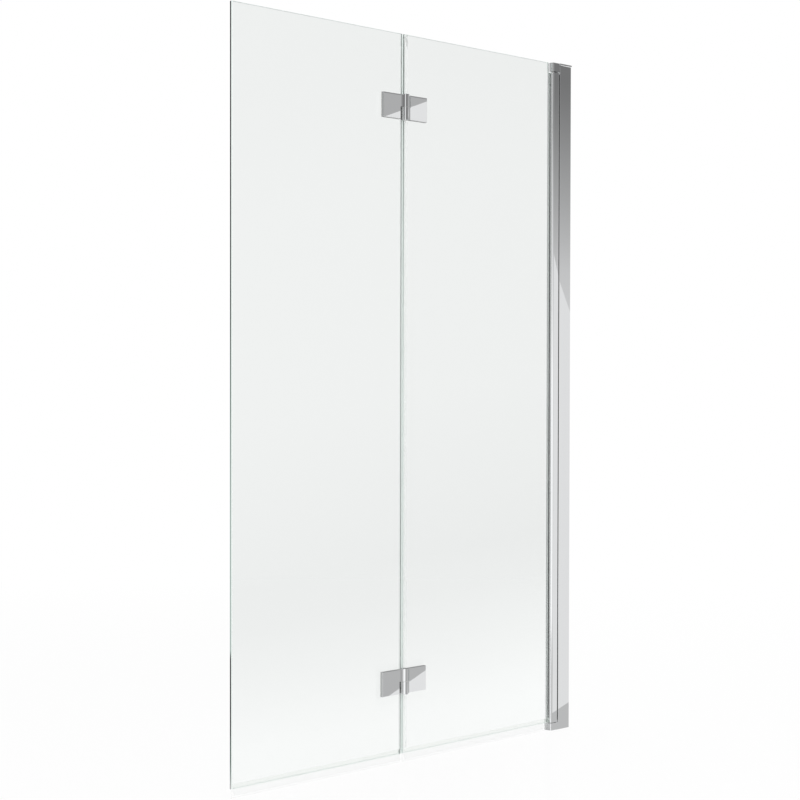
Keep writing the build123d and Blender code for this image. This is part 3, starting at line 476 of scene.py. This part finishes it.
# A bay of the room has bands of its own up its wall, which lean.
bay = bands_round(tree, turn, (-50, 0.0), (-46, 1.0), (-35, 1.0), (-31, 0.0))
lean = add(tree, "ShaderNodeMath", {"operation": "MULTIPLY_ADD"}, {
    0: compass, 1: -BAY_LEAN, 2: BAY_LEAN * BAY_MIDDLE})
leaning = add(tree, "ShaderNodeMath", {"operation": "ADD"}, {0: parts["Z"], 1: lean.outputs[0]})
bay_level = bands_up(
    tree, leaning.outputs[0], -11, 9, (-11, 1.25), (-9.5, 1.2), (-8.9, 1.05), (-7.8, 0.7), (-6.7, 0.4),
    (-6.2, 0.25), (-5.1, 0.1), (-3.4, 0.22), (-0.6, 0.38), (5, 0.38), (8.4, 0.28))
level = add(tree, "ShaderNodeMix", {"data_type": "RGBA"}, {
    "Factor": bay, 6: level.outputs[2], 7: bay_level})

# The ground is white all round.
ground = bands_up(tree, parts["Z"], -20, -5, (-20, 1.0), (-14, 1.0), (-11, 0.0))
level = add(tree, "ShaderNodeMix", {"data_type": "RGBA"}, {
    "Factor": ground, 6: level.outputs[2], 7: grey(1.0)})

room = add(tree, "ShaderNodeBackground", {}, {"Color": level.outputs[2], "Strength": 1.0})
white = add(tree, "ShaderNodeBackground", {}, {"Color": grey(1.0), "Strength": 1.0})
soft = add(tree, "ShaderNodeBackground", {}, {"Color": grey(ROOM_WHITE), "Strength": 1.0})
plain = add(tree, "ShaderNodeMixShader", {}, {
    0: looked_at(tree, rays), 1: soft.outputs[0], 2: white.outputs[0]})
seen = add(tree, "ShaderNodeMixShader", {}, {
    0: mirrored_only(tree, rays), 1: plain.outputs[0], 2: room.outputs[0]})
add(tree, "ShaderNodeOutputWorld", {}, {"Surface": seen.outputs[0]})

# ---- Reflector cards -----------------------------------------------------------------------------
# Glowing cards, one before each hinge and a tall one beside the wall side. Only reflections see
# them, and the polished metal takes its sharp changes of tone from them.

CHROME_SHARE = 0.9
HINGE_CARD_Y = -0.160
HINGE_CARD_LOWER_TONE = 0.768
# Ranges in x and z, the two ends of the line where the tones meet, and the upper tone.
HINGE_CARDS = {
    "upper": ((-0.439, -0.291), (1.265, 1.312), (-0.4169, 1.2676), (-0.2953, 1.3073), 0.418),
    "lower": ((-0.436, -0.287), (0.080, 0.161), (-0.4017, 0.1018), (-0.2978, 0.1372), 0.451),
}
PROFILE_CARD_X = (0.0080, 0.0705)
PROFILE_CARD_Y = -0.060
PROFILE_CARD_Z = (1.414, -0.018)
# The heights between which the card's upper tone darkens, and its tones between them.
SHADED_Z = (0.88, 1.40)
SHADED_TONES = (
    (0.0, 0.60), (0.176, 0.552), (0.30, 0.468), (0.464, 0.376), (0.629, 0.3), (0.752, 0.246),
    (0.875, 0.198), (0.957, 0.178))
# The ends of each line where the tone changes, and the tone below it.
PROFILE_CARD_STEPS = (
    ((0.0344, 0.9416), (0.0683, 0.8846), 0.74),
    ((0.0087, 1.007), (0.0212, 0.9733), 0.74),
    ((0.0099, 0.0233), (0.0653, 0.0386), 0.497),
)


def stand_card(name, xs, y, zs, paint):
    """Stage card between two places in x and two in z, which only reflections see."""
    corners = [(xs[0], y, zs[0]), (xs[1], y, zs[0]), (xs[1], y, zs[1]), (xs[0], y, zs[1])]
    mesh = bmesh.new()
    mesh.faces.new([mesh.verts.new(corner) for corner in corners])
    data = bpy.data.meshes.new(name)
    mesh.to_mesh(data)
    data.materials.append(paint)
    made = bpy.data.objects.new(name, data)
    bpy.context.scene.collection.objects.link(made)
    made.visible_camera = made.visible_diffuse = made.visible_transmission = False
    made.visible_shadow = made.visible_volume_scatter = False


def mirrored_as(level):
    """Colour of a card that chrome mirrors as a linear level."""
    return grey(level / CHROME_SHARE)


def lower_tone(tree, place, start, end, above, below):
    """Tone that changes below the line through two points of a card, given by x and z."""
    slope = (end[1] - start[1]) / (end[0] - start[0])
    parts = add(tree, "ShaderNodeSeparateXYZ", {}, {0: place}).outputs
    line = add(tree, "ShaderNodeMath", {"operation": "MULTIPLY_ADD"}, {
        0: parts["X"], 1: slope, 2: start[1] - slope * start[0]})
    under = add(tree, "ShaderNodeMath", {"operation": "LESS_THAN"}, {0: parts["Z"], 1: line.outputs[0]})
    return add(tree, "ShaderNodeMix", {"data_type": "RGBA"}, {
        "Factor": under.outputs[0], 6: above, 7: below}).outputs[2]


for end, (xs, zs, line_start, line_end, upper_tone) in HINGE_CARDS.items():
    paint, tree, place = material(f"{end}_hinge_card")
    tone = lower_tone(tree, place, line_start, line_end,
                      mirrored_as(upper_tone), mirrored_as(HINGE_CARD_LOWER_TONE))
    surface(tree, add(tree, "ShaderNodeEmission", {}, {"Color": tone, "Strength": 1.0}))
    stand_card(f"{end}_hinge_card", xs, HINGE_CARD_Y, zs, paint)

paint, tree, place = material("profile_card")
parts = add(tree, "ShaderNodeSeparateXYZ", {}, {0: place}).outputs
upwards = add(tree, "ShaderNodeMapRange", {}, {
    "Value": parts["Z"], "From Min": SHADED_Z[0], "From Max": SHADED_Z[1]})
tone = add(tree, "ShaderNodeValToRGB", {}, {0: upwards.outputs[0]},
           [(at, mirrored_as(level)) for at, level in SHADED_TONES]).outputs[0]
for line_start, line_end, lower in PROFILE_CARD_STEPS:
    tone = lower_tone(tree, place, line_start, line_end, tone, mirrored_as(lower))
surface(tree, add(tree, "ShaderNodeEmission", {}, {"Color": tone, "Strength": 1.0}))
stand_card("profile_card", PROFILE_CARD_X, PROFILE_CARD_Y, PROFILE_CARD_Z, paint)

# ---- Lamp ----------------------------------------------------------------------------------------
# One large soft lamp above the bath side, turned to the screen. It throws its faint shadow.

LAMP_SIZE = 3.0
LAMP_POWER = 25.0
LAMP_PLACE = Vector((-2.2, -2.6, 3.6))
LAMP_AIM = Vector((-0.5, 0.0, 0.6))

lamp_data = bpy.data.lights.new("softbox", "AREA")
lamp_data.shape = "SQUARE"
lamp_data.size = LAMP_SIZE
lamp_data.energy = LAMP_POWER
lamp = bpy.data.objects.new("softbox", lamp_data)
lamp.location = LAMP_PLACE
lamp.rotation_euler = (LAMP_AIM - LAMP_PLACE).to_track_quat("-Z", "Y").to_euler()
lamp.visible_glossy = False
lamp.visible_camera = False
bpy.context.scene.collection.objects.link(lamp)

# ---- Camera --------------------------------------------------------------------------------------
# It stands beyond the free end of the screen on the bath side, at half its height, and looks
# along the screen towards the wall.

FRAME_PIXELS = 800
FOCAL_PIXELS = 2070.38
SHIFT_PIXELS = (-0.15, 17.48)
SENSOR = 36.0
NEAREST = 0.05
CAMERA_PLACE = (-3.57073, -2.57874, 0.74438)
CAMERA_TURNS = (49.5837, 1.1429, 0.1044)

yaw, pitch, roll = (math.radians(degrees) for degrees in CAMERA_TURNS)
forward = Vector((math.sin(yaw) * math.cos(pitch), math.cos(yaw) * math.cos(pitch), -math.sin(pitch)))
sideways = Vector((math.cos(yaw), -math.sin(yaw), 0.0))
upright = sideways.cross(forward)
right = math.cos(roll) * sideways + math.sin(roll) * upright
up = -math.sin(roll) * sideways + math.cos(roll) * upright
lens = bpy.data.cameras.new("camera")
lens.sensor_width = SENSOR
lens.lens = FOCAL_PIXELS * SENSOR / FRAME_PIXELS
lens.clip_start = NEAREST
lens.shift_x, lens.shift_y = (pixels / FRAME_PIXELS for pixels in SHIFT_PIXELS)
camera = bpy.data.objects.new("camera", lens)
camera.matrix_world = Matrix.Translation(CAMERA_PLACE) @ Matrix(
    (right, up, -forward)).transposed().to_4x4()
bpy.context.scene.collection.objects.link(camera)
bpy.context.scene.camera = camera

# Colours render as they are written.
bpy.context.scene.view_settings.view_transform = "Standard"
